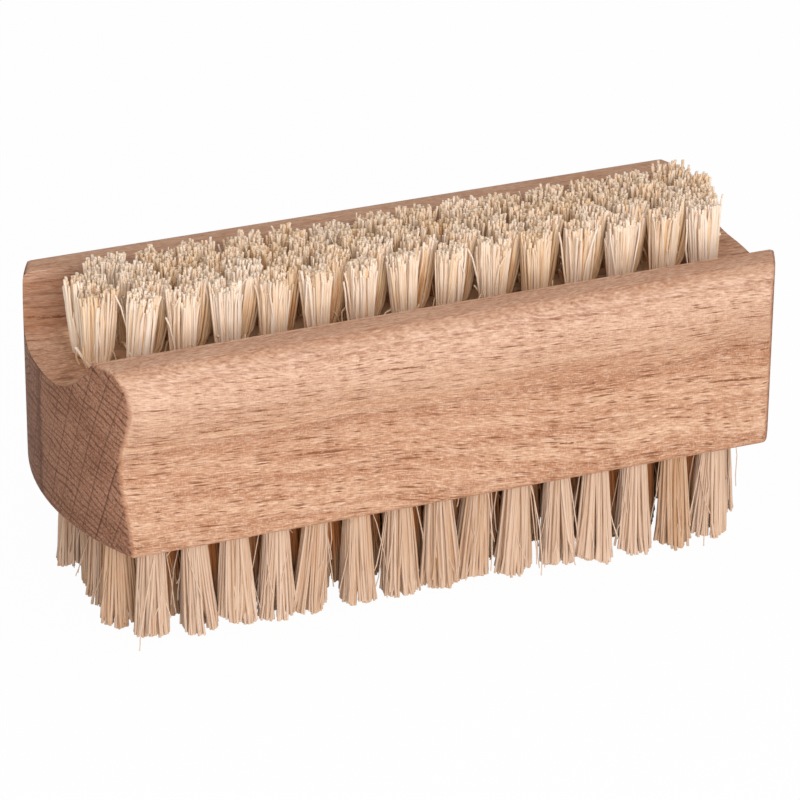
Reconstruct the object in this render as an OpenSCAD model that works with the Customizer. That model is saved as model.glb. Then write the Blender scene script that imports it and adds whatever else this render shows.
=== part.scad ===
// Double-sided wooden nail brush.
// A solid beech block carries two fields of plant-fibre tufts: a short field that stands in a
// trough along the top, between two walls, and a longer field under the flat base.
// Each tuft is a folded bundle held in a blind drilled hole by a small flat wire anchor.
// The long axis is X, the front is towards -Y, and the brush stands on its lower bristles at Z = 0.

/* [Block] */
// Length of the block over its curved ends
block_l = 95; // [80:0.5:120]
// Width of the block at its base
block_w = 38.5; // [36:0.5:50]
// Height of the block, without bristles
block_h = 24.3; // [22:0.1:30]
// How far the middle of each end stands proud of its corners
end_bulge = 5.3; // [2:0.1:8]
// Rounding of the upright edges where the sides meet the ends
corner_r = 1.4; // [0.8:0.1:3]
// Rounding of the edges around the base and the tops of the ends
edge_r = 0.8; // [0.4:0.1:1.2]

/* [Sides] */
// Depth of the finger groove along each side
groove_depth = 1.6; // [0.6:0.1:2.5]
// Height of the deepest line of the finger groove above the base
groove_height = 12.1; // [9:0.1:14]
// Height above the base at which the side is back at full width
brow_height = 19.9; // [17:0.1:21]
// Width of the rounding over the top of each wall
crown_w = 3.3; // [2:0.1:4]

/* [Trough] */
// Width of the trough between the tops of the walls
trough_w = 26.8; // [24:0.2:27.4]
// Depth of the trough
trough_depth = 6.2; // [5:0.1:7.5]
// Radius of the hollow that joins the trough's floor to each wall
cove_r = 11; // [9:0.5:13]

/* [Upper tufts] */
// Tufts in each of the two middle rows of the trough; the two outer rows have one fewer
top_count = 15; // [9:1:16]
// Distance between neighbouring rows in the trough
top_row_gap = 3.8; // [3.6:0.1:4.2]
// Distance from the last tuft of a middle row to the end of the block
top_margin = 6.8; // [5:0.1:12]
// How far the outer rows lie to the right of centre
top_shift = 1.2; // [0:0.1:1.6]
// Height of the fibres above the trough's floor
top_fibre_l = 10.1; // [8:0.1:14]

/* [Lower tufts] */
// Tufts in each of the four middle rows of the base; the two outer rows have one fewer
base_count = 16; // [10:1:17]
// Distance between neighbouring rows in the base
base_row_gap = 5.6; // [4.6:0.1:6]
// Distance from the last tuft of a middle row to the end of the block
base_margin = 7.2; // [5:0.1:12]
// Distance from the last tuft of an outer row to the end of the block
base_outer_margin = 9.9; // [8:0.1:12]
// How far the outer rows lie to the right of centre
base_shift = -0.5; // [-1.2:0.1:1.2]
// Length of the fibres below the base
base_fibre_l = 14.6; // [10:0.1:20]

/* [Tuft holes and anchors] */
// Diameter of every drilled hole
hole_d = 3; // [2.6:0.1:3.2]
// Depth of every drilled hole
hole_depth = 7; // [5:0.1:7.6]
// Gap all round between the folded bundle and its hole
bundle_fit = 0.05; // [0.03:0.01:0.1]
// Thickness of the anchor's flat wire
anchor_t = 0.4; // [0.3:0.05:0.6]
// Height of the anchor's flat wire
anchor_h = 1.8; // [1.2:0.1:2.4]
// Thickness of the fibres that pass under the anchor where the bundle is folded
fold_t = 0.6; // [0.4:0.1:1]

/* [Hidden] */
// Gap between an anchor and the fibres folded round it
anchor_fit = 0.05;
// Overrun of every cut past the face that it opens
over = 1;

// Strips along the side, along the crown, along the cove and round an edge
side_steps = 26;
crown_steps = 12;
cove_steps = 12;
edge_steps = 5;
// Sides of a hole, and of the circles that give the ends their curve
hole_fn = 32;
plan_fn = 160;
// Shares of the corner's turn at which its flats lie
corner_shares = [0.25, 0.5, 0.75];

// Strands that stand for the fibres of one tuft, and the sides of each
strands = 3;
strand_sides = 4;
// Distance from a strand's middle to its corners, at its root and at its tip
strand_root_r = 0.62;
top_tip_r = 0.8;
base_tip_r = 0.95;
// Distance of the strands from the tuft's axis at the root
strand_root_off = 0.77;
// How far a strand reaches down into the folded bundle
strand_sunk = 1;
// Distance of the strands' tips from the tuft's axis, along and across the brush
top_splay_x = 1.75;
top_splay_y = 0.95;
base_splay_x = 1.75;
base_splay_y = 1.6;
// How much the upper tips differ in height
top_uneven = 0.7;
// Turn from one tuft's strands to the next, so that no two neighbours look alike
tuft_turn = 137.5;

// Radius of each end's curve, seen from above
end_r = (pow(block_w / 2, 2) + pow(end_bulge, 2)) / 2 / end_bulge;
// Height of the base above the surface that the brush stands on
base_z = base_fibre_l;
// Level of the trough's floor above the base, and half the width of its flat part
floor_h = block_h - trough_depth;
cove_angle = acos((cove_r - trough_depth) / cove_r);
floor_half_w = trough_w / 2 - cove_r * sin(cove_angle);
// Turn from the side's face to the end's face at a corner
corner_turn = 90 - asin(block_w / 2 / end_r);

// Rows of tufts in the trough and in the base
top_rows = 4;
base_rows = 6;

// Outline of the block

// How deep the finger groove is at height h
function groove(h) =
    h < groove_height
        ? groove_depth * (1 - cos(180 * h / groove_height)) / 2
        : groove_depth * (1 + cos(180 * (h - groove_height) / (brow_height - groove_height))) / 2;

// The side and the crown of one wall, from the base to the flat top of the wall, as [y, height]
function wall_points() = concat(
    [for (i = [0:edge_steps]) let (a = 90 * i / edge_steps)
        [block_w / 2 - edge_r * (1 - sin(a)), edge_r * (1 - cos(a))]],
    [for (i = [1:side_steps]) let (h = edge_r + (brow_height - edge_r) * i / side_steps)
        [block_w / 2 - groove(h), h]],
    [for (i = [1:crown_steps]) let (a = 90 * i / crown_steps)
        [block_w / 2 - crown_w * (1 - cos(a)), brow_height + (block_h - brow_height) * sin(a)]]
);

// One half of the trough, from the top of the wall to the floor's flat part
function trough_points() =
    [for (i = [cove_steps:-1:0]) let (a = cove_angle * i / cove_steps)
        [floor_half_w + cove_r * sin(a), floor_h + cove_r * (1 - cos(a))]];

function mirrored(points) = [for (i = [len(points) - 1:-1:0]) [-points[i][0], points[i][1]]];

// Where the end's curve lies, measured from the middle of the brush, at y
function end_x(y) = block_l / 2 - end_r + sqrt(end_r * end_r - y * y);

// A shape drawn as [y, height] and drawn out along X, turned about the upright axis
module along(turn = 0) {
    rotate([0, 0, turn]) translate([-block_l, 0, 0]) rotate([90, 0, 90])
        linear_extrude(2 * block_l) children();
}

// The block's outline seen from the end, with no trough
module end_outline() {
    polygon(concat(wall_points(), mirrored(wall_points())));
}

// A disc whose rim is one end of the block: its edges are rounded above and below
module end_disc(side) {
    translate([side * (block_l / 2 - end_r), 0, 0]) rotate_extrude($fn = plan_fn)
        polygon(concat(
            [[0, 0]],
            [for (i = [0:edge_steps]) let (a = 90 * i / edge_steps)
                [end_r - edge_r * (1 - sin(a)), edge_r * (1 - cos(a))]],
            [for (i = [0:edge_steps]) let (a = 90 * i / edge_steps)
                [end_r - edge_r * (1 - cos(a)), block_h - edge_r * (1 - sin(a))]],
            [[0, block_h]]
        ));
}

// One flat of the rounded upright edges: it follows the groove and the crown from base to top
module corner_flat(side, share) {
    a = corner_turn * share;
    cut = corner_r * ((cos(a) + cos(corner_turn - a)) / (1 + cos(corner_turn)) - 1);
    flat = [for (p = wall_points()) [end_x(p[0]) * sin(a) + p[0] * cos(a) - cut, p[1]]];
    along(-side * a) polygon(concat(flat, mirrored(flat)));
}

module trough() {
    top = [[trough_w / 2, block_h + over]];
    along() polygon(concat(top, trough_points(), mirrored(trough_points()), mirrored(top)));
}

// Places of the tufts

// Half the length of a row, from its middle to its last tuft
function top_reach(outer) =
    (block_l / 2 - top_margin) * (outer ? (top_count - 2) / (top_count - 1) : 1);
function base_reach(outer) = block_l / 2 - (outer ? base_outer_margin : base_margin);

function is_outer(row, rows) = row == 1 || row == rows;
function spread(count, reach, shift) =
    [for (i = [0:count - 1]) shift + reach * (2 * i / (count - 1) - 1)];
function row_y(row, rows, gap) = gap * (row - (rows + 1) / 2);

function top_xs(row) = let (outer = is_outer(row, top_rows))
    spread(top_count - (outer ? 1 : 0), top_reach(outer), outer ? top_shift : 0);
function base_xs(row) = let (outer = is_outer(row, base_rows))
    spread(base_count - (outer ? 1 : 0), base_reach(outer), outer ? base_shift : 0);

// Puts its children at each tuft of a row, at the mouth of the hole and pointing out of it
module at_top_row(row) {
    xs = top_xs(row);
    for (i = [0:len(xs) - 1]) {
        $tuft = i + row * top_count;
        translate([xs[i], row_y(row, top_rows, top_row_gap), base_z + floor_h]) children();
    }
}
module at_base_row(row) {
    xs = base_xs(row);
    for (i = [0:len(xs) - 1]) {
        $tuft = i + row * base_count;
        translate([xs[i], row_y(row, base_rows, base_row_gap), base_z])
            rotate([180, 0, 0]) children();
    }
}

module hole() {
    translate([0, 0, -hole_depth]) cylinder(d = hole_d, h = hole_depth + trough_depth, $fn = hole_fn);
}

// Fibres

// A ring of a strand's corners about a point
function ring(at, r, turn) =
    [for (k = [0:strand_sides - 1]) let (a = turn + 360 * k / strand_sides)
        [at[0] + r * cos(a), at[1] + r * sin(a), at[2]]];

// A closed strand between two level rings, so that its tip is cut flat
module strand(root, tip, tip_r, turn) {
    n = strand_sides;
    polyhedron(
        points = concat(ring(root, strand_root_r, turn), ring(tip, tip_r, turn)),
        faces = concat(
            [for (k = [0:n - 1]) [k, n + k, (k + 1) % n]],
            [for (k = [0:n - 1]) [(k + 1) % n, n + k, n + (k + 1) % n]],
            [for (k = [1:n - 2]) [0, k, k + 1]],
            [for (k = [1:n - 2]) [n, n + k + 1, n + k]]
        )
    );
}

// A folded bundle with the slot that its anchor fills, and the strands that grow out of it
module tuft(fibre_l, splay_x, splay_y, tip_r, uneven) {
    difference() {
        translate([0, 0, -hole_depth])
            cylinder(d = hole_d - 2 * bundle_fit, h = hole_depth, $fn = hole_fn);
        translate([-hole_d, -anchor_t / 2 - anchor_fit, fold_t - hole_depth])
            cube([2 * hole_d, anchor_t + 2 * anchor_fit, anchor_h + anchor_fit]);
    }
    for (k = [0:strands - 1]) {
        a = tuft_turn * $tuft + 360 * k / strands;
        drop = uneven * (1 + sin(tuft_turn * (strands * $tuft + k))) / 2;
        strand(
            [strand_root_off * cos(a), strand_root_off * sin(a), -strand_sunk],
            [splay_x * cos(a), splay_y * sin(a), fibre_l - drop],
            tip_r,
            a
        );
    }
}

// Sub-parts

module block() {
    color("#d9ab83") difference() {
        translate([0, 0, base_z]) difference() {
            intersection() {
                along() end_outline();
                union() {
                    end_disc(-1);
                    end_disc(1);
                }
                intersection_for (side = [-1, 1], share = corner_shares)
                    corner_flat(side, share);
            }
            trough();
        }
        for (row = [1:top_rows]) at_top_row(row) hole();
        for (row = [1:base_rows]) at_base_row(row) hole();
    }
}

module top_tufts(row) {
    color("#e9dcc0") at_top_row(row)
        tuft(top_fibre_l, top_splay_x, top_splay_y, top_tip_r, top_uneven);
}

module base_tufts(row) {
    color("#dcc6a2") at_base_row(row)
        tuft(base_fibre_l, base_splay_x, base_splay_y, base_tip_r, 0);
}

// The flat wire anchor, on edge across the hole, with the fibres folded round it
module anchor() {
    translate([bundle_fit - hole_d / 2, -anchor_t / 2, fold_t - hole_depth])
        cube([hole_d - 2 * bundle_fit, anchor_t, anchor_h]);
}

module top_anchors(row) {
    color("silver") at_top_row(row) anchor();
}

module base_anchors(row) {
    color("silver") at_base_row(row) anchor();
}

block();
top_tufts(1);  // top_tufts_1
top_tufts(2);  // top_tufts_2
top_tufts(3);  // top_tufts_3
top_tufts(4);  // top_tufts_4
base_tufts(1);  // base_tufts_1
base_tufts(2);  // base_tufts_2
base_tufts(3);  // base_tufts_3
base_tufts(4);  // base_tufts_4
base_tufts(5);  // base_tufts_5
base_tufts(6);  // base_tufts_6
top_anchors(1);  // top_anchors_1
top_anchors(2);  // top_anchors_2
top_anchors(3);  // top_anchors_3
top_anchors(4);  // top_anchors_4
base_anchors(1);  // base_anchors_1
base_anchors(2);  // base_anchors_2
base_anchors(3);  // base_anchors_3
base_anchors(4);  // base_anchors_4
base_anchors(5);  // base_anchors_5
base_anchors(6);  // base_anchors_6
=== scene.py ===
import math
import random

import bmesh
import bpy
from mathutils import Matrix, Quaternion, Vector


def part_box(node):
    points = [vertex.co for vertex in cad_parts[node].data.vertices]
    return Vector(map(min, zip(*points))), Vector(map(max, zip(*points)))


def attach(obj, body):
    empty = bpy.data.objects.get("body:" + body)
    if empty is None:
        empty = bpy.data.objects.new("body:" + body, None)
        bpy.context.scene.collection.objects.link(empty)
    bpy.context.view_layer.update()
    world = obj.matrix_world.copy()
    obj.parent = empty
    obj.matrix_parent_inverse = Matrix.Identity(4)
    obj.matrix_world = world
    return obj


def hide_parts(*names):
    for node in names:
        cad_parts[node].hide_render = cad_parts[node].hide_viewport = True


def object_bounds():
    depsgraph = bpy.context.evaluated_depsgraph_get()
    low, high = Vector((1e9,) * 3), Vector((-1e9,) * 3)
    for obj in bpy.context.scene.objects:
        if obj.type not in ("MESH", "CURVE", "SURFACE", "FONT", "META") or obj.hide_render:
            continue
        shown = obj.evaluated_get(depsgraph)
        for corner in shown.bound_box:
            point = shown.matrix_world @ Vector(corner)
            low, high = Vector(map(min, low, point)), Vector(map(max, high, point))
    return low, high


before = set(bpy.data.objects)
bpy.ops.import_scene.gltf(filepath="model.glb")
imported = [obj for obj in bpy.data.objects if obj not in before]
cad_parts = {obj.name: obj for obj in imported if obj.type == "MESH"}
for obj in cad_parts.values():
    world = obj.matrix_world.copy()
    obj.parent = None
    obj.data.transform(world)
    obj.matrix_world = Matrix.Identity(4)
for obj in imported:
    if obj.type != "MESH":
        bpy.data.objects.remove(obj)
cad_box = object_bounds()

# Camera: a long lens from the front left, a little above the brush, as in the photograph.
# The view was found by fitting a pinhole camera to the block's edges and corners.
MM = 0.001
camera_side = math.radians(21.852)
camera_height = math.radians(27.182)
camera_roll = math.radians(0.417)
camera_distance = 588.2 * MM
camera_target = Vector((0, 0, 19.4 * MM))
photo_width = 800
focal_pixels = 4654

camera_data = bpy.data.cameras.new("camera")
camera = bpy.data.objects.new("camera", camera_data)
bpy.context.scene.collection.objects.link(camera)
bpy.context.scene.camera = camera
towards_camera = Vector((
    -math.sin(camera_side) * math.cos(camera_height),
    -math.cos(camera_side) * math.cos(camera_height),
    math.sin(camera_height),
))
camera.location = camera_target + camera_distance * towards_camera
camera.rotation_mode = "QUATERNION"
camera.rotation_quaternion = (
    Quaternion(towards_camera, camera_roll) @ (-towards_camera).to_track_quat("-Z", "Y")
)
camera_data.lens = focal_pixels / photo_width * camera_data.sensor_width
camera_data.clip_start = 0.01
camera_data.clip_end = 20


# Block: one piece of steamed beech, moulded along its length, cut to bowed ends and sanded.
# The holes for the tufts are drilled into its base and into the floor of its trough.
def linear(hex_colour):
    """An sRGB hex colour as linear red, green, blue and alpha."""
    parts = [int(hex_colour[i:i + 2], 16) / 255 for i in (1, 3, 5)]
    return [c / 12.92 if c <= 0.04045 else ((c + 0.055) / 1.055) ** 2.4 for c in parts] + [1]


def add(tree, kind, inputs=(), output=0, **settings):
    """Adds a node with its settings and its inputs' values or links, and returns an output."""
    node = tree.nodes.new("ShaderNode" + kind)
    for name, value in settings.items():
        setattr(node, name, value)
    for key, value in inputs.items() if isinstance(inputs, dict) else enumerate(inputs):
        if isinstance(value, bpy.types.NodeSocket):
            tree.links.new(value, node.inputs[key])
        else:
            node.inputs[key].default_value = value
    return node.outputs[output]


# Sanded beech, matt: pale pinkish brown wood. Its rays end on the sides as short dark flecks,
# and its growth rings show there as faint bands. The end grain drinks in light and is darker,
# with thin lines of rings crossed by thin lines of rays.
beech = bpy.data.materials.new("beech_sanded")
beech.use_nodes = True
tree = beech.node_tree
surface = tree.nodes["Principled BSDF"]
surface.inputs["Roughness"].default_value = 0.65
surface.inputs["Specular IOR Level"].default_value = 0.06
in_mm = add(tree, "VectorMath", (add(tree, "TexCoord", output="Object"), (1 / MM,) * 3),
            operation="MULTIPLY")
along = add(tree, "SeparateXYZ", (in_mm,), output="X")
across = add(tree, "SeparateXYZ", (in_mm,), output="Y")
up = add(tree, "SeparateXYZ", (in_mm,), output="Z")

# The grain wanders: slow waves along the block, and smaller ones.
slow = add(tree, "TexNoise", {
    "Vector": add(tree, "VectorMath", (in_mm, (40, 22, 22)), operation="DIVIDE"),
    "Scale": 1, "Detail": 0})
small = add(tree, "TexNoise", {
    "Vector": add(tree, "VectorMath", (in_mm, (13, 9, 9)), operation="DIVIDE"),
    "Scale": 1, "Detail": 1})
wander = add(tree, "Math", (slow, 4.5, add(tree, "Math", (small, 0.9), operation="MULTIPLY")),
             operation="MULTIPLY_ADD")

# Seen from the end the rays arch over from front to back. They fall by this share of the square
# of the distance from the arch's top, which lies this far in front of the middle, both in
# millimetres. Along the block they fall a little to the right.
arch_bend = 0.0184
arch_forward = 2.5
ray_fall = 0.085
from_top = add(tree, "Math", (across, arch_forward))
arched = add(tree, "Math", (from_top, from_top), operation="MULTIPLY")
ray_level = add(tree, "Math", (arched, arch_bend, up), operation="MULTIPLY_ADD")
ray_up = add(tree, "Math", (along, ray_fall, ray_level), operation="MULTIPLY_ADD")
ray_up = add(tree, "Math", (ray_up, wander))
grain = add(tree, "CombineXYZ", (along, across, ray_up))

# Flecks: in cells of a length and thickness in millimetres, a share holds a ray's end, dark, and
# as many hold a pale one, the weakest this strong. They crowd in places and are fewer towards the
# top. They are laid out as seen from the side, and shifted at the back so that it differs.
back_shift = 211
at_back = add(tree, "Math", (across, 0), operation="GREATER_THAN")
side_along = add(tree, "Math", (at_back, back_shift, along), operation="MULTIPLY_ADD")
side_plane = add(tree, "CombineXYZ", (side_along, ray_up))
crowd = add(tree, "TexNoise", {
    "Vector": add(tree, "VectorMath", (side_plane, (15, 3, 1)), operation="DIVIDE"),
    "Scale": 1, "Detail": 1})
crowd = add(tree, "Math", (
    add(tree, "MapRange", (crowd, 0.35, 0.65, 0.5, 1.4)),
    add(tree, "MapRange", (up, 22, 36, 1.15, 0.9))), operation="MULTIPLY")
flecks = 0
pale_flecks = 0
for length, thickness, share, weakest in (
        (6.5, 0.36, 0.05, 0.75), (4.2, 0.31, 0.15, 0.5), (2.6, 0.27, 0.22, 0.35)):
    cells = add(tree, "TexVoronoi", {
        "Vector": add(tree, "VectorMath", (side_plane, (length, thickness, 1)),
                      operation="DIVIDE"),
        "Scale": 1, "Exponent": 0.8, "Randomness": 1},
        distance="MINKOWSKI", voronoi_dimensions="2D")
    picked = add(tree, "SeparateColor", (cells.node.outputs["Color"],))
    strength = add(tree, "MapRange", (picked.node.outputs["Green"], 0, 1, weakest, 1))
    lens = add(tree, "Math", (add(tree, "MapRange", (cells, 0.42, 0.26, 0, 1)), strength),
               operation="MULTIPLY")
    odds = add(tree, "Math", (crowd, share), operation="MULTIPLY")
    is_dark = add(tree, "Math", (picked, odds), operation="LESS_THAN")
    is_pale = add(tree, "Math", (add(tree, "Math", (picked, odds)), 1), operation="GREATER_THAN")
    flecks = add(tree, "Math", (
        flecks, add(tree, "Math", (lens, is_dark), operation="MULTIPLY")), operation="MAXIMUM")
    pale_flecks = add(tree, "Math", (
        pale_flecks, add(tree, "Math", (lens, is_pale), operation="MULTIPLY")),
        operation="MAXIMUM")

# Where a face looks up or down the rays lie flat in it and hardly show, and none show where it
# turns towards an end.
normal = add(tree, "NewGeometry", output="Normal")
level_face = add(tree, "Math", (add(tree, "SeparateXYZ", (normal,), output="Z"),),
                 operation="ABSOLUTE")
endways = add(tree, "Math", (add(tree, "SeparateXYZ", (normal,), output="X"),),
              operation="ABSOLUTE")
upright = add(tree, "Math", (
    add(tree, "MapRange", (level_face, 0.35, 0.8, 1, 0.1)),
    add(tree, "MapRange", (endways, 0.12, 0.4, 1, 0))), operation="MULTIPLY")
flecks = add(tree, "Math", (flecks, upright), operation="MULTIPLY")
pale_flecks = add(tree, "Math", (pale_flecks, upright), operation="MULTIPLY")

# A few rays run into longer dark lines. For each: whether it lies at the back, its middle along
# and up, its length and its thickness. A noise makes them ragged, and lifts them by this much.
mean_lift = 0.17
ragged = add(tree, "TexNoise", {
    "Vector": add(tree, "VectorMath", (in_mm, (0.9, 1, 0.3)), operation="DIVIDE"),
    "Scale": 1, "Detail": 2})
mark_up = add(tree, "Math", (ragged, 0.35, up), operation="MULTIPLY_ADD")
mark_up = add(tree, "Math", (along, ray_fall, mark_up), operation="MULTIPLY_ADD")
mark_plane = add(tree, "CombineXYZ", (side_along, mark_up))
for behind, x, z, length, thickness in (
        (0, -17.4, 24, 9.6, 0.42), (0, 38.4, 23.8, 10.4, 0.4), (0, -7.6, 34.3, 7.4, 0.26),
        (0, -31, 29.6, 5.6, 0.24), (0, 15, 19.6, 6, 0.24),
        (1, -43, 34.4, 7, 0.34), (1, -8, 27, 8, 0.3)):
    middle = (x + back_shift * behind, z + mean_lift + ray_fall * x, 0)
    beside = add(tree, "VectorMath", (mark_plane, middle), operation="SUBTRACT")
    beside = add(tree, "VectorMath", (beside, (length / 2, thickness / 2, 1)), operation="DIVIDE")
    away = add(tree, "VectorMath", (beside,), output="Value", operation="LENGTH")
    mark = add(tree, "Math", (
        add(tree, "MapRange", (away, 1, 0.6)),
        add(tree, "MapRange", (ragged, 0.34, 0.46))), operation="MULTIPLY")
    flecks = add(tree, "Math", (flecks, mark), operation="MAXIMUM")

# Growth rings stand steeply and lean forwards as they rise. One of them ends about half-way down
# the front, at this place across and up. The noises shift them all by this much on average.
ring_gap = 2.6
ring_lean = 0.35
ring_end_across = -16.7
ring_end_up = 27.2
mean_shift = 0.7
ring_start = ring_end_across - ring_lean * ring_end_up + mean_shift
ring_place = add(tree, "Math", (up, ring_lean, across), operation="MULTIPLY_ADD")
ring_place = add(tree, "Math", (slow, 0.9, ring_place), operation="MULTIPLY_ADD")
ring_place = add(tree, "Math", (small, 0.5, ring_place), operation="MULTIPLY_ADD")
ring_count = add(tree, "MapRange", (ring_place, ring_start, ring_start + ring_gap), clamp=False)
ring_phase = add(tree, "Math", (ring_count,), operation="FRACT")
late_wood = add(tree, "MapRange", (ring_phase, 0.45, 0.98))
ring_edge = add(tree, "Math", (
    add(tree, "MapRange", (ring_phase, 0.87, 0.95)),
    add(tree, "MapRange", (ring_phase, 0.97, 1.0, 1, 0))), operation="MULTIPLY")
ring_tone = add(tree, "TexWhiteNoise", {
    "W": add(tree, "Math", (ring_count,), operation="FLOOR")}, noise_dimensions="1D")

# Fine fibres along the grain, drawn coarser than their real 0.02 mm, with longer streaks and
# broad clouds.
fibres = add(tree, "TexNoise", {
    "Vector": add(tree, "VectorMath", (grain, (1.1, 0.3, 0.12)), operation="DIVIDE"),
    "Scale": 1, "Detail": 3, "Roughness": 0.65})
streaks = add(tree, "TexNoise", {
    "Vector": add(tree, "VectorMath", (grain, (16, 7, 1.1)), operation="DIVIDE"),
    "Scale": 1, "Detail": 3})
clouds = add(tree, "TexNoise", {
    "Vector": add(tree, "VectorMath", (grain, (18, 12, 5)), operation="DIVIDE"),
    "Scale": 1, "Detail": 2})
# The moulding cutter left a faint upright hatch.
hatch = add(tree, "TexNoise", {
    "Vector": add(tree, "VectorMath", (in_mm, (0.2, 3, 0.4)), operation="DIVIDE"),
    "Scale": 1, "Detail": 1})
hatch = add(tree, "Math", (add(tree, "MapRange", (hatch, 0.5, 0.75, 0, 0.3)), upright),
            operation="MULTIPLY")

# The trough gets painted shade: its walls are painted darker than the sanded outside, as shade
# in the recess. Its walls stand 13 mm from the middle.
off_middle = add(tree, "Math", (across,), operation="ABSOLUTE")
in_trough = add(tree, "Math", (
    add(tree, "MapRange", (off_middle, 12.6, 13.6, 1, 0)),
    add(tree, "MapRange", (up, 28, 29))), operation="MULTIPLY")
# The floor between the tufts is painted paler: painted light that lifts the shade the tufts
# cast there.
from_centre = add(tree, "Math", (along,), operation="ABSOLUTE")
floor_painted_light = add(tree, "Math", (
    add(tree, "MapRange", (off_middle, 7.8, 7, 0, 0.9)),
    add(tree, "MapRange", (from_centre, 42.4, 41.6))), operation="MULTIPLY")
floor_painted_light = add(tree, "Math", (floor_painted_light, in_trough), operation="MULTIPLY")
# The cutter tore short scores into it.
scores = add(tree, "TexNoise", {
    "Vector": add(tree, "VectorMath", (grain, (7, 1.1, 0.3)), operation="DIVIDE"),
    "Scale": 1, "Detail": 2})
scores = add(tree, "Math", (add(tree, "MapRange", (scores, 0.55, 0.66, 0, 0.45)), in_trough),
             operation="MULTIPLY")
# Painted shade in the recess: faint on the floor, stronger on the walls above 34 mm.
trough_painted_shade = add(tree, "Math", (in_trough, add(tree, "MapRange", (up, 33, 34, 0.03, 0.52))),
                   operation="MULTIPLY")

# The sides' colours are laid over each other, each by its share. By height, the block is painted
# paler towards its top edge, a painted highlight where the crown turns up to the light, and
# browner at its foot, painted shade where its lower edge rounds under.
side_colour = linear("#b78768")
for colour, share in (
        ("#dbb394", add(tree, "MapRange", (streaks, 0.42, 0.68, 0, 0.7))),
        # Painted highlight towards the top edge.
        ("#e8c4ad", add(tree, "MapRange", (up, 29, 36, 0, 0.45))),
        ("#b37c5a", add(tree, "MapRange", (clouds, 0.5, 0.8, 0, 0.3))),
        # Painted shade at the foot.
        ("#b07a58", add(tree, "MapRange", (up, 17, 14.6, 0, 0.45))),
        ("#b57f62", add(tree, "Math", (ring_tone, 0.18), operation="MULTIPLY")),
        ("#a26d50", add(tree, "Math", (late_wood, 0.2), operation="MULTIPLY")),
        ("#8a543b", add(tree, "Math", (ring_edge, 0.26), operation="MULTIPLY")),
        ("#8a583e", add(tree, "MapRange", (fibres, 0.5, 0.76, 0, 0.9))),
        ("#f2d4bd", add(tree, "MapRange", (fibres, 0.48, 0.22, 0, 0.85))),
        ("#ecccb2", hatch),
        ("#ecccb5", add(tree, "Math", (pale_flecks, 0.3), operation="MULTIPLY")),
        # Painted shade: faces that look up or down are browner, as the lamp's light falls on them
        # at a low slant.
        ("#b57a52", add(tree, "MapRange", (upright, 0.3, 0.1, 0, 0.22))),
        # Painted shade in the trough.
        ("#935d3b", trough_painted_shade),
        # Painted light on the floor between the tufts.
        ("#f3c398", floor_painted_light),
        ("#5f3a25", scores),
        ("#7a462b", add(tree, "Math", (flecks, 0.85), operation="MULTIPLY"))):
    side_colour = add(tree, "Mix", {"Factor": share, "A": side_colour, "B": linear(colour)},
                      output="Result", data_type="RGBA")

# End grain: ray lines about a millimetre apart, ring edges, and pores, which are drawn as a
# speckle coarser than their real 0.06 mm.
ray_gap = 0.95
ray_wave = add(tree, "TexNoise", {
    "Vector": add(tree, "VectorMath", (in_mm, (60, 9, 3.5)), operation="DIVIDE"),
    "Scale": 1, "Detail": 1})
end_level = add(tree, "Math", (ray_wave, 2.4, ray_level), operation="MULTIPLY_ADD")
end_phase = add(tree, "Math", (add(tree, "Math", (end_level, ray_gap), operation="DIVIDE"),),
                operation="FRACT")
end_rays = add(tree, "Math", (
    add(tree, "MapRange", (end_phase, 0.6, 0.8)),
    add(tree, "MapRange", (end_phase, 0.84, 1.0, 1, 0))), operation="MULTIPLY")
ray_part = add(tree, "TexNoise", {
    "Vector": add(tree, "VectorMath", (in_mm, (60, 5, 0.9)), operation="DIVIDE"),
    "Scale": 1, "Detail": 1})
end_rays = add(tree, "Math", (end_rays, add(tree, "MapRange", (ray_part, 0.33, 0.55, 0.2, 0.8))),
               operation="MULTIPLY")
pores = add(tree, "TexNoise", {
    "Vector": add(tree, "VectorMath", (in_mm, (0.6, 0.26, 0.26)), operation="DIVIDE"),
    "Scale": 1, "Detail": 2})
# The back half of each end is painted darker behind a rough dark line: painted shade where the
# bowed end turns away from the light.
back_edge = add(tree, "TexNoise", {
    "Vector": add(tree, "VectorMath", (in_mm, (60, 2, 1.4)), operation="DIVIDE"),
    "Scale": 1, "Detail": 3})
back_edge = add(tree, "Math", (back_edge, 2.6, across), operation="MULTIPLY_ADD")
back_painted_shade = add(tree, "MapRange", (back_edge, 0.4, 1.2))
back_shade_line = add(tree, "Math", (back_painted_shade, add(tree, "MapRange", (back_edge, 1.2, 2.8, 0.5, 0))),
                operation="MULTIPLY")
ring_lines = add(tree, "Math", (ring_edge, add(tree, "MapRange", (ring_tone, 0, 1, 0.15, 0.8))),
                 operation="MULTIPLY")
end_colour = linear("#a5775f")
for colour, share in (
        ("#90634d", add(tree, "MapRange", (clouds, 0.4, 0.62))),
        # Painted shade on the back half of the end.
        ("#6a4535", add(tree, "Math", (back_painted_shade, 0.4), operation="MULTIPLY")),
        ("#6f4a38", add(tree, "MapRange", (up, 22, 15, 0, 0.3))),
        ("#5c3826", add(tree, "MapRange", (pores, 0.5, 0.74, 0, 0.85))),
        ("#bd947a", add(tree, "MapRange", (pores, 0.5, 0.27, 0, 0.6))),
        ("#b98f74", add(tree, "MapRange", (ring_phase, 0.1, 0.02, 0, 0.14))),
        # The rough dark line at the edge of the painted shade.
        ("#4c2e20", back_shade_line),
        ("#55352a", ring_lines),
        ("#55352a", end_rays)):
    end_colour = add(tree, "Mix", {"Factor": share, "A": end_colour, "B": linear(colour)},
                     output="Result", data_type="RGBA")

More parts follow.
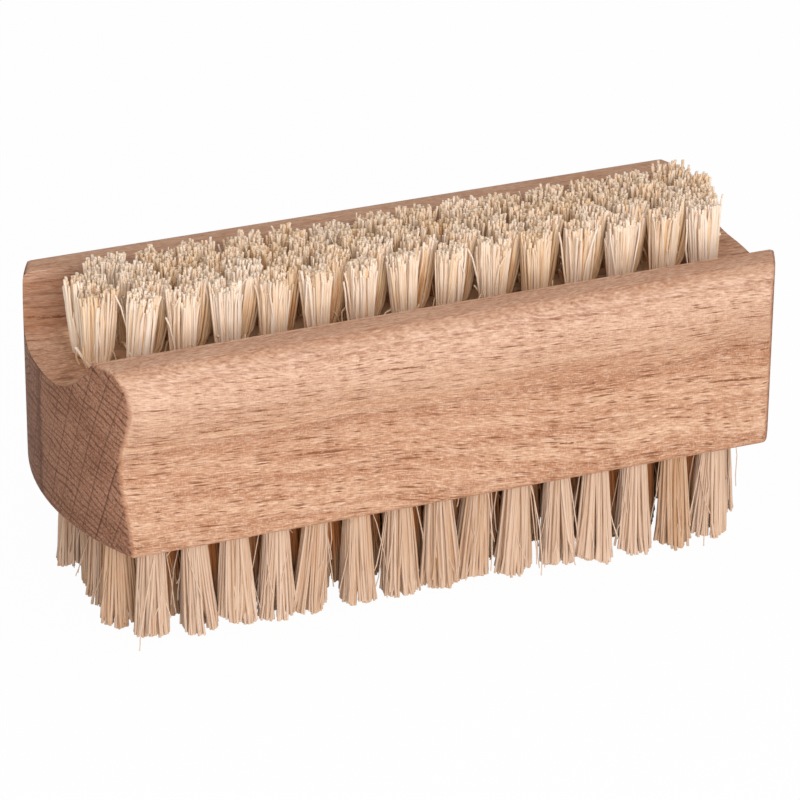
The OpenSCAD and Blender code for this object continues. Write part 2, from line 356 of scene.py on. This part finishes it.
end_share = add(tree, "MapRange", (endways, 0.35, 0.75))
tree.links.new(
    add(tree, "Mix", {"Factor": end_share, "A": side_colour, "B": end_colour},
        output="Result", data_type="RGBA"),
    surface.inputs["Base Color"])
# The flecks are soft and sand away a little deeper than the wood around them.
relief = add(tree, "Math", (flecks, -1.2, fibres), operation="MULTIPLY_ADD")
tree.links.new(add(tree, "Bump", {"Strength": 0.5, "Distance": 0.05 * MM, "Height": relief}),
               surface.inputs["Normal"])

# The CAD block's triangles are merged back into whole faces so that its curves shade evenly,
# and the edges round its two ends are eased, as by a few strokes of sandpaper.
eased_edge = 0.35 * MM
end_zone = 40 * MM
sharp_turn = math.radians(50)
block_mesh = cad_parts["block"].data.copy()
bm = bmesh.new()
bm.from_mesh(block_mesh)
bmesh.ops.remove_doubles(bm, verts=bm.verts, dist=0.001 * MM)
bmesh.ops.dissolve_limit(bm, angle_limit=math.radians(0.3), verts=bm.verts, edges=bm.edges)
end_rims = []
for edge in bm.edges:
    # A rim lies between a face along the block and one that looks out of its end.
    turns = sorted(abs(face.normal.x) for face in edge.link_faces)
    at_end = min(abs(corner.co.x) for corner in edge.verts) > end_zone
    if at_end and len(turns) == 2 and turns[0] < 0.05 and turns[1] > 0.3 and (
            edge.calc_face_angle() > sharp_turn):
        end_rims.append(edge)
bmesh.ops.bevel(bm, geom=end_rims, offset=eased_edge, offset_type="OFFSET", affect="EDGES",
                segments=3, profile=0.5, material=-1, clamp_overlap=True)
bm.to_mesh(block_mesh)
bm.free()
block_mesh.shade_smooth()
block_mesh.set_sharp_from_angle(angle=math.radians(35))
block = bpy.data.objects.new("beech_block", block_mesh)
bpy.context.scene.collection.objects.link(block)
even_shading = block.modifiers.new("even_shading", "WEIGHTED_NORMAL")
even_shading.keep_sharp = True
even_shading.weight = 100
block_mesh.materials.clear()
block_mesh.materials.append(beech)
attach(block, "root")
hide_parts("block")

# Tufts: bundles of stiff pale plant fibre, folded over an anchor and driven into the holes.
# They flare from the mouth of the hole in a few locks and are trimmed level by machine, so
# their ends are ragged, with fibres of many lengths and a few that stand out sideways.
rand = random.Random(6080)


def plant_fibre(name, tones):
    """Cut plant fibre, pale and dull: each strand has its own tone, darkened by painted shade
    towards its root, and faint patches a third of a millimetre wide and 3 mm long run through the
    tuft."""
    material = bpy.data.materials.new(name)
    material.use_nodes = True
    tree = material.node_tree
    surface = tree.nodes["Principled BSDF"]
    surface.inputs["Roughness"].default_value = 0.6
    surface.inputs["Specular IOR Level"].default_value = 0
    tone = add(tree, "Attribute", output="Fac", attribute_name="tone")
    patches = add(tree, "TexNoise", {
        "Vector": add(tree, "VectorMath", (add(tree, "TexCoord", output="Object"),
                                           (3 / MM, 3 / MM, 0.3 / MM)), operation="MULTIPLY"),
        "Scale": 1, "Detail": 2})
    shade = add(tree, "Math", (patches, 0.3, tone), operation="MULTIPLY_ADD")
    ramp = add(tree, "ValToRGB", (shade,))
    stops = ramp.node.color_ramp.elements
    while len(stops) < len(tones):
        stops.new(0.5)
    for stop, (place, _) in zip(stops, tones):
        stop.position = place
    for stop, (_, colour) in zip(stops, tones):
        stop.color = linear(colour)
    tree.links.new(ramp, surface.inputs["Base Color"])
    return material


def around(turn, out, half_sizes, height):
    """A place round the origin, this far out as a share of an oval's half sizes."""
    return Vector((out * half_sizes[0] * math.cos(turn), out * half_sizes[1] * math.sin(turn),
                   height))


def aside(spread):
    """A random step to a side."""
    return Vector((rand.gauss(0, spread), rand.gauss(0, spread), 0))


def fibre(root, tip, flare, bow, flick):
    """Five points along one strand that flares outwards, bows and flicks aside near its tip."""
    points = []
    for t in (0, 0.3, 0.6, 0.86):
        place = root.lerp(tip, t ** flare) + bow * (4 * t * (1 - t))
        points.append(Vector((place.x, place.y, root.z + (tip.z - root.z) * t)))
    return points + [tip + flick]


def tuft(length, lean, count, mouth_r, fan, flare, locks, pull, steps, ragged, droop, slant, cut,
         strays, stubs, thick, stray_thick):
    """The strands of one tuft that stands on the origin: a list of (points, radii, tone). It
    widens from the radius of its hole's mouth to the half sizes of its fan. Its strands are
    pulled into locks, which end in steps. They end lower the further they are from their lock's
    head, and ragged, under a slanted cut. Each starts down in its hole and ends at least a little
    short of the trimmed level."""
    golden_angle = math.radians(137.508)
    root_depth = 1.2 * MM
    least_short = 0.08 * MM
    start = rand.uniform(0, 2 * math.pi)
    lean = lean + aside(slant) * length
    hole = (mouth_r, mouth_r)
    fan = [side * rand.uniform(0.93, 1.07) for side in fan]
    cut = aside(cut)
    heads = []
    for i in range(locks):
        turn = start + 2 * math.pi * i / locks + rand.gauss(0, 0.3)
        heads.append((around(turn, rand.uniform(0.3, 0.95), fan, 0), rand.uniform(*steps)))
    strands = []
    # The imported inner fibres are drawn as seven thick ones, six round a middle one, that taper
    # off before the ends. They are darker, as they lie in the others' shade.
    inner_out = 0.6
    inner_reach = 0.92
    inner_tone = -0.15
    inner_radii = [mouth_r * width for width in (0.42, 0.42, 0.44, 0.38, 0.12)]
    for i in range(7):
        turn = start + i * math.pi / 3
        out = inner_out if i < 6 else 0
        root = around(turn, out, hole, -root_depth)
        tip = root.lerp(around(turn, out, fan, length) + lean, inner_reach)
        strands.append((fibre(root, tip, flare, Vector(), Vector()), inner_radii, inner_tone))
    # The strands round them stand closer together towards the outside. One in eight or so has a
    # length of its own.
    crowding = 0.4
    odd_share = 0.12
    for i in range(count):
        share = ((i + 0.5) / count) ** crowding
        turn = start + i * golden_angle
        root = around(turn, share, hole, -root_depth)
        turn += rand.gauss(0, 0.2)
        tip = around(turn, share * (1 + rand.gauss(0, 0.1)), fan, 0)
        head, reach = min(heads, key=lambda lock: (lock[0] - tip).length)
        from_head = (head - tip).length / fan[0]
        tip = tip.lerp(head, pull)
        short = reach + droop * from_head + cut.dot(tip) + ragged * rand.random() ** 1.5
        if rand.random() < odd_share:
            short += rand.uniform(-0.5 * MM, 2 * MM)
        tip += lean + Vector((0, 0, length - max(least_short, short)))
        strands.append((fibre(root, tip, flare, aside(0.1) * MM, aside(0.1) * MM),
                        [rand.uniform(*thick)] * 5, 0))
    # Strays stand out sideways over much of the length, and stubs broke off near the wood. For
    # each kind: its reach as a share of the length, what it adds outwards, its bend and its tone.
    stray = ((0.5, 0.99), 0, 0.5, 0.08)
    stub = ((0.08, 0.35), 0.6, 0.6, -0.1)
    for reaches, further_out, bend, tone in [stray] * strays + [stub] * stubs:
        turn = rand.uniform(0, 2 * math.pi)
        root = around(turn, 0.9, hole, -root_depth)
        turn += rand.gauss(0, 0.5)
        reach = rand.uniform(*reaches)
        out = rand.uniform(1.05, 1.7) * reach + further_out
        tip = around(turn, out, fan, length * reach)
        strands.append((fibre(root, tip, 1, aside(bend) * MM, aside(0.2) * MM),
                        [rand.uniform(*stray_thick)] * 5, tone))
    return strands


def tuft_row(name, node, anchors, tufts, mouth, down, lengths, leans, root_painted_shade, tip_painted_shade, uneven,
             material, slot, broken=(), **shape):
    """A row of tufts as one mesh, each over its anchor in the CAD model. Its strands get painted
    shade, darker over their lower part where tufts stand all round them, half as much higher up
    and at most tip_painted_shade at the tip; so much less in a row's first and last tuft."""
    half_anchor = 1.45 * MM
    open_share = 0.15
    low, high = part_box(anchors)
    curve = bpy.data.curves.new(name, "CURVE")
    curve.dimensions = "3D"
    curve.bevel_depth = 1
    curve.bevel_resolution = 1
    tones = []
    for i in range(tufts):
        share = i / (tufts - 1)
        x = low.x + half_anchor + (high.x - low.x - 2 * half_anchor) * share
        middle = Vector((x, (low.y + high.y) / 2, mouth))
        length = lengths[0] + (lengths[1] - lengths[0]) * share
        lean = Vector((leans[0] if i == 0 else leans[2] if i == tufts - 1 else leans[1], 0, 0))
        tuft_tone = rand.gauss(0.5, 0.04)
        # Painted shade at the roots: much less in a row's first and last tuft, which stand in the
        # open.
        dark = root_painted_shade * (open_share if i in (0, tufts - 1) else 1)
        strands = tuft(length, lean, **shape)
        if i == 0:
            strands += broken
        for points, radii, pale in strands:
            spline = curve.splines.new("POLY")
            spline.points.add(len(points) - 1)
            for point, place, radius in zip(spline.points, points, radii):
                if down:
                    place = Vector((place.x, -place.y, -place.z))
                point.co = (*(middle + place), 1)
                point.radius = radius
            tone = tuft_tone + pale + rand.gauss(0, uneven)
            # Painted shade along the strand: full over its lower part, half higher up, and at the
            # tip no more than the tip's share.
            tones.extend(min(1, max(0, tone - less))
                         for less in (dark, dark, dark, dark * 0.5, min(dark, tip_painted_shade)))
    drawn = bpy.data.objects.new(name, curve)
    bpy.context.scene.collection.objects.link(drawn)
    evaluated = drawn.evaluated_get(bpy.context.evaluated_depsgraph_get())
    mesh = bpy.data.meshes.new_from_object(evaluated)
    bpy.data.objects.remove(drawn)
    mesh.name = name
    sides = len(mesh.vertices) // len(tones)
    tone = mesh.attributes.new("tone", "FLOAT", "POINT")
    tone.data.foreach_set("value", [value for value in tones for _ in range(sides)])
    bm = bmesh.new()
    bm.from_mesh(mesh)
    bmesh.ops.holes_fill(bm, edges=[edge for edge in bm.edges if edge.is_boundary], sides=sides)
    bm.to_mesh(mesh)
    bm.free()
    mesh.shade_smooth()
    mesh.set_sharp_from_angle(angle=math.radians(65))
    mesh.materials.clear()
    mesh.materials.append(material)
    row = bpy.data.objects.new(name, mesh)
    bpy.context.scene.collection.objects.link(row)
    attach(row, "root")
    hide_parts(node)


block_low, block_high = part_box("block")
brush_low, brush_high = cad_box
trough_floor = block_high.z - 6.2 * MM

# Upper tufts: 58 bundles of pale fibre in four rows, driven into the trough's floor and trimmed
# level. The second row leans a little to the right, and the outer tufts of the front two lean
# inwards. Out of the second row's first tuft stands one thick fibre that broke off short.
# The darkest stop of the ramp is the colour of the painted shade deep among the tufts.
upper_fibre = plant_fibre("plant_fibre_cut_pale", (
    (0.1, "#c68a56"), (0.4, "#e9c8a0"), (0.66, "#fae6d1"), (1.0, "#fef6ec")))
upper_height = brush_high.z - trough_floor + 0.3 * MM
broken_root = Vector((-0.5, -0.7, -0.9)) * MM
broken_tip = Vector((-2.9, -1.2, 3.3)) * MM
broken_fibre = ([broken_root.lerp(broken_tip, t / 4) for t in range(5)], [0.19 * MM] * 5, 0.2)
# For each row: its tufts, its fan's half sizes in mm, its flare, its leans in mm at the first,
# middle and last tufts, and the painted shade at its roots and tips, stronger in the rows behind
# the front one.
for row, (tufts, fan, flare, leans, root_painted_shade, tip_painted_shade) in enumerate((
        (14, (1.95, 1.9), 1.15, (0.8, 0, -0.4), 0.06, 0.02),
        (15, (2.3, 2.1), 0.5, (0.6, 1.6, -0.6), 0.35, 0.06),
        (15, (2.6, 2.1), 0.7, (0.2, 0.4, 0.3), 0.4, 0.06),
        (14, (2.6, 2), 0.7, (0.2, 0.2, 0.3), 0.4, 0.06)), 1):
    tuft_row(f"upper_tuft_row_{row}", f"top_tufts_{row}", f"top_anchors_{row}", tufts,
             mouth=trough_floor, down=False, lengths=(upper_height, upper_height),
             leans=[lean * MM for lean in leans], root_painted_shade=root_painted_shade, tip_painted_shade=tip_painted_shade,
             uneven=0.065, material=upper_fibre, slot="upper_fibre",
             broken=[broken_fibre] if row == 2 else [],
             count=130, mouth_r=1.3 * MM, fan=[side * MM for side in fan], flare=flare, locks=6,
             pull=0.08, steps=(-0.2 * MM, 0.7 * MM), ragged=1.7 * MM, droop=0.2 * MM, slant=0.02,
             cut=0.06, strays=5, stubs=6, thick=(0.13 * MM, 0.2 * MM),
             stray_thick=(0.08 * MM, 0.14 * MM))

# Lower tufts: 94 bundles of the same fibre, browner, in six rows, driven into the flat base. They
# are longer, and the machine trimmed them a little shorter towards the left end.
# The darkest stop of the ramp is the colour of the painted shade deep among the tufts.
lower_fibre = plant_fibre("plant_fibre_cut_tan", (
    (0.1, "#be733c"), (0.4, "#c39b77"), (0.66, "#d5b8a0"), (1.0, "#e9d1bd")))
lower_length = block_low.z - brush_low.z
left_shorter = 0.3 * MM
# For each row: its tufts, its fan's half size along the row in mm, its flare, and the painted
# shade at its roots and tips, strong in the four inner rows, which stand among the others.
for row, (tufts, fan, flare, root_painted_shade, tip_painted_shade) in enumerate((
        (15, 2.55, 1.15, 0.03, 0), (16, 2.85, 0.8, 0.48, 0.15), (16, 2.85, 0.8, 0.5, 0.2),
        (16, 2.85, 0.8, 0.5, 0.2), (16, 2.85, 0.8, 0.48, 0.15), (15, 2.6, 1.15, 0.1, 0)), 1):
    tuft_row(f"lower_tuft_row_{row}", f"base_tufts_{row}", f"base_anchors_{row}", tufts,
             mouth=block_low.z, down=True, lengths=(lower_length - left_shorter, lower_length),
             leans=(0, 0, 0), root_painted_shade=root_painted_shade, tip_painted_shade=tip_painted_shade,
             uneven=0.055, material=lower_fibre, slot="lower_fibre",
             count=165, mouth_r=1.35 * MM, fan=(fan * MM, 2.5 * MM), flare=flare, locks=6,
             pull=0.28, steps=(-0.8 * MM, 0.5 * MM), ragged=0.5 * MM, droop=0.6 * MM, slant=0.035,
             cut=0.16, strays=9, stubs=1, thick=(0.14 * MM, 0.21 * MM),
             stray_thick=(0.055 * MM, 0.095 * MM))

# Anchors: short pieces of flat steel wire, one across the bottom of each hole, hidden in the
# wood. They were cut from drawn wire, which has fine lines along it and a soft shine.
wire = bpy.data.materials.new("steel_wire_drawn")
wire.use_nodes = True
tree = wire.node_tree
surface = tree.nodes["Principled BSDF"]
surface.inputs["Metallic"].default_value = 1
lines = add(tree, "TexNoise", {
    "Vector": add(tree, "VectorMath", (add(tree, "TexCoord", output="Object"),
                                       (0.4 / MM, 12 / MM, 12 / MM)), operation="MULTIPLY"),
    "Scale": 1, "Detail": 3})
tree.links.new(add(tree, "MapRange", (lines, 0, 1, 0.25, 0.45)), surface.inputs["Roughness"])
tree.links.new(
    add(tree, "Mix", {"Factor": lines, "A": linear("#a9aaad"), "B": linear("#c4c5c8")},
        output="Result", data_type="RGBA"),
    surface.inputs["Base Color"])
for name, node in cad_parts.items():
    if "anchors" in name:
        node.data.materials.clear()
        node.data.materials.append(wire)

# Studio: a white table that runs out of sight and a white room, lit by one large soft lamp
# at the front and by soft light all round, stronger from above and weaker from the back and the
# left. The camera sees the table as white, with only a weak shadow.
table_radius = 3
table_mesh = bpy.data.meshes.new("table")
bm = bmesh.new()
bmesh.ops.create_circle(bm, cap_ends=True, radius=table_radius, segments=64)
bm.to_mesh(table_mesh)
bm.free()
table = bpy.data.objects.new("table", table_mesh)
bpy.context.scene.collection.objects.link(table)
white = bpy.data.materials.new("table_white_matt")
white.use_nodes = True
tree = white.node_tree
surface = tree.nodes["Principled BSDF"]
surface.inputs["Base Color"].default_value = (0.92, 0.92, 0.92, 1)
surface.inputs["Roughness"].default_value = 0.9
surface.inputs["Specular IOR Level"].default_value = 0
path = add(tree, "LightPath", output="Is Camera Ray").node
seen = add(tree, "Math", (path.outputs["Is Camera Ray"], path.outputs["Is Glossy Ray"]),
           operation="MAXIMUM")
seen = add(tree, "Math", (seen, path.outputs["Is Transmission Ray"]), operation="MAXIMUM")
backdrop_share = 0.97
shown = add(tree, "MixShader", (
    add(tree, "Math", (seen, backdrop_share), operation="MULTIPLY"),
    surface.outputs[0], add(tree, "Emission", ((1, 1, 1, 1), 1))))
tree.links.new(shown, tree.nodes["Material Output"].inputs["Surface"])
table_mesh.materials.append(white)

bpy.context.scene.view_settings.view_transform = "Standard"
room_light = 0.62
back_share = 0.6
left_share = 0.6
top_share = 1.5
world = bpy.data.worlds.new("studio")
bpy.context.scene.world = world
world.use_nodes = True
tree = world.node_tree
path = add(tree, "LightPath", output="Is Camera Ray").node
seen = add(tree, "Math", (path.outputs["Is Camera Ray"], path.outputs["Is Glossy Ray"]),
           operation="MAXIMUM")
seen = add(tree, "Math", (seen, path.outputs["Is Transmission Ray"]), operation="MAXIMUM")
direction = add(tree, "SeparateXYZ", (add(tree, "TexCoord", output="Generated"),)).node
level = add(tree, "MapRange", (
    direction.outputs["Y"], -1, 1, room_light, room_light * back_share))
level = add(tree, "Math", (
    level, add(tree, "MapRange", (direction.outputs["X"], -1, 0.1, left_share, 1))),
    operation="MULTIPLY")
level = add(tree, "Math", (
    level, add(tree, "MapRange", (direction.outputs["Z"], 0, 1, 1, top_share))),
    operation="MULTIPLY")
level = add(tree, "Mix", {"Factor": seen, "A": level, "B": 1}, data_type="FLOAT")
tree.links.new(level, tree.nodes["Background"].inputs["Strength"])
tree.nodes["Background"].inputs["Color"].default_value = (1, 1, 1, 1)

lamp_side = math.radians(-8)
lamp_height = math.radians(20)
lamp_distance = 0.9
lamp_data = bpy.data.lights.new("soft_lamp", "AREA")
lamp_data.size = 0.6
lamp_data.energy = 5.8
lamp = bpy.data.objects.new("soft_lamp", lamp_data)
bpy.context.scene.collection.objects.link(lamp)
towards_lamp = Vector((
    math.sin(lamp_side) * math.cos(lamp_height),
    -math.cos(lamp_side) * math.cos(lamp_height),
    math.sin(lamp_height),
))
lamp.location = camera_target + towards_lamp * lamp_distance
lamp.rotation_mode = "QUATERNION"
lamp.rotation_quaternion = towards_lamp.to_track_quat("Z", "Y")
